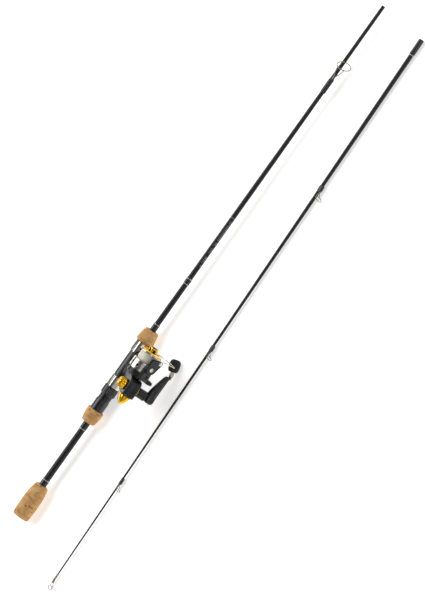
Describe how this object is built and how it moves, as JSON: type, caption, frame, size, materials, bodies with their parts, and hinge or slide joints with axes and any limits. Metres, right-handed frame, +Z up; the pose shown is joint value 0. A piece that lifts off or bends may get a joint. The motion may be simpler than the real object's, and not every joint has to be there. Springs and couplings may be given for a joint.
{
  "type": "two-piece spinning fishing rod with reel",
  "caption": "Two-piece spinning fishing rod taken apart: butt section with cork grips and a clamped spinning reel, and tip section with wire line guides.",
  "frame": {"origin": "centre of the bounding box at the ground the rod lies on", "axes": "+X along the rod from the butt section's butt end to its ferrule end; +Z up; the tip section lies on the -Y side"},
  "size_m": [0.8864, 0.1192, 0.0653],
  "materials": {
    "carbon": "satin carbon",
    "cork": "matte cork",
    "wrap": "glossy epoxy over thread",
    "graphite": "satin",
    "chrome": "polished",
    "steel": "satin",
    "gold": "gold anodised, glossy",
    "brass": "satin",
    "line": "translucent line",
    "rubber": "matte"
  },
  "bodies": {
    "butt_section": {"butt_blank": "carbon", "butt_plug": "rubber", "butt_grip": "cork", "butt_wrap": "wrap", "rear_wrap": "wrap", "rear_grip": "cork", "seat_arbor": "rubber", "reel_seat": "graphite", "fixed_hood": "chrome", "fore_grip": "cork", "fore_wrap": "wrap", "ornament_wrap": "wrap", "stripper_wrap": "wrap", "stripper_guide": "steel", "reel_body": "graphite", "side_cover": "graphite", "rear_cover": "gold", "shaft_bearing_left": "steel", "shaft_bearing_right": "steel", "pinion_bearing": "steel"},
    "sliding_hood": {"sliding_hood": "chrome"},
    "lock_nut": {"lock_nut": "graphite"},
    "crank": {"crank_cap": "gold", "drive_shaft": "steel", "drive_gear": "brass", "crank_collar": "gold", "crank_sleeve": "graphite", "crank_arm": "graphite", "knob_pin": "steel"},
    "knob_yoke": {"knob_yoke": "steel"},
    "knob": {"knob_grip": "rubber"},
    "rotor": {"rotor": "graphite", "pinion_gear": "brass", "rotor_nut": "steel", "bail_screw_near": "steel", "bail_screw_far": "steel"},
    "bail": {"bail_arm": "graphite", "bail_holder": "graphite", "bail_wire": "steel", "roller_screw": "steel"},
    "line_roller": {"line_roller": "chrome"},
    "main_shaft": {"main_shaft": "steel", "drag_washers": "steel"},
    "spool": {"spool": "chrome", "spool_lip": "gold", "wound_line": "line"},
    "drag_knob": {"drag_knob": "gold", "drag_cap": "rubber"},
    "tip_section": {"tip_blank": "carbon", "ferrule_wrap": "wrap", "guide_wrap_1": "wrap", "guide_1": "steel", "guide_wrap_2": "wrap", "guide_2": "steel", "guide_wrap_3": "wrap", "guide_3": "steel", "tip_top_tube": "steel", "tip_top_loop": "steel"}
  },
  "joints": [
    {"name": "nut_turn", "type": "hinge", "parent": "sliding_hood", "child": "lock_nut", "pos_m": [-0.39533, 0.04687, 0.01278], "axis": [1, 0, 0], "range_deg": [-1621, 0]},
    {"name": "hood_slide", "type": "slide", "parent": "butt_section", "child": "sliding_hood", "axis": [1, 0, 0], "range_m": [-0.009, 0]},
    {"name": "crank_turn", "type": "hinge", "parent": "butt_section", "child": "crank", "pos_m": [-0.15913, -0.00351, 0.04806], "axis": [0, -0.5736, -0.8192], "continuous": true},
    {"name": "knob_fold", "type": "hinge", "parent": "crank", "child": "knob_yoke", "pos_m": [-0.11837, -0.01865, 0.00739], "axis": [-0.2588, 0.7912, -0.554], "range_deg": [0, 102]},
    {"name": "knob_spin", "type": "hinge", "parent": "knob_yoke", "child": "knob", "pos_m": [-0.11837, -0.01865, 0.00739], "axis": [0.9448, 0.3266, 0.0251], "continuous": true},
    {"name": "rotor_turn", "type": "hinge", "parent": "butt_section", "child": "rotor", "pos_m": [-0.12233, 0.00059, 0.04519], "axis": [1, 0, 0], "continuous": true},
    {"name": "bail_flip", "type": "hinge", "parent": "rotor", "child": "bail", "pos_m": [-0.12233, 0.00059, 0.04519], "axis": [0, -0.9511, 0.309], "range_deg": [0, 112]},
    {"name": "roller_spin", "type": "hinge", "parent": "bail", "child": "line_roller", "pos_m": [-0.10933, -0.00158, 0.03853], "axis": [0, -0.9511, 0.309], "continuous": true},
    {"name": "shaft_stroke", "type": "slide", "parent": "butt_section", "child": "main_shaft", "axis": [1, 0, 0], "range_m": [-0.0028, 0.0028]},
    {"name": "spool_slip", "type": "hinge", "parent": "main_shaft", "child": "spool", "pos_m": [-0.12233, 0.00059, 0.04519], "axis": [1, 0, 0], "continuous": true},
    {"name": "drag_turn", "type": "hinge", "parent": "main_shaft", "child": "drag_knob", "pos_m": [-0.12233, 0.00059, 0.04519], "axis": [1, 0, 0], "range_deg": [-540, 540]},
    {"name": "tip_lift", "type": "slide", "parent": "butt_section", "child": "tip_section", "axis": [0, 0, 1], "range_m": [0, 0.15]}
  ],
  "couplings": [
    {"joint": "rotor_turn", "follows": "crank_turn", "ratio": 5.25},
    {"joint": "nut_turn", "follows": "hood_slide", "rad_per_m": 3141.6}
  ]
}
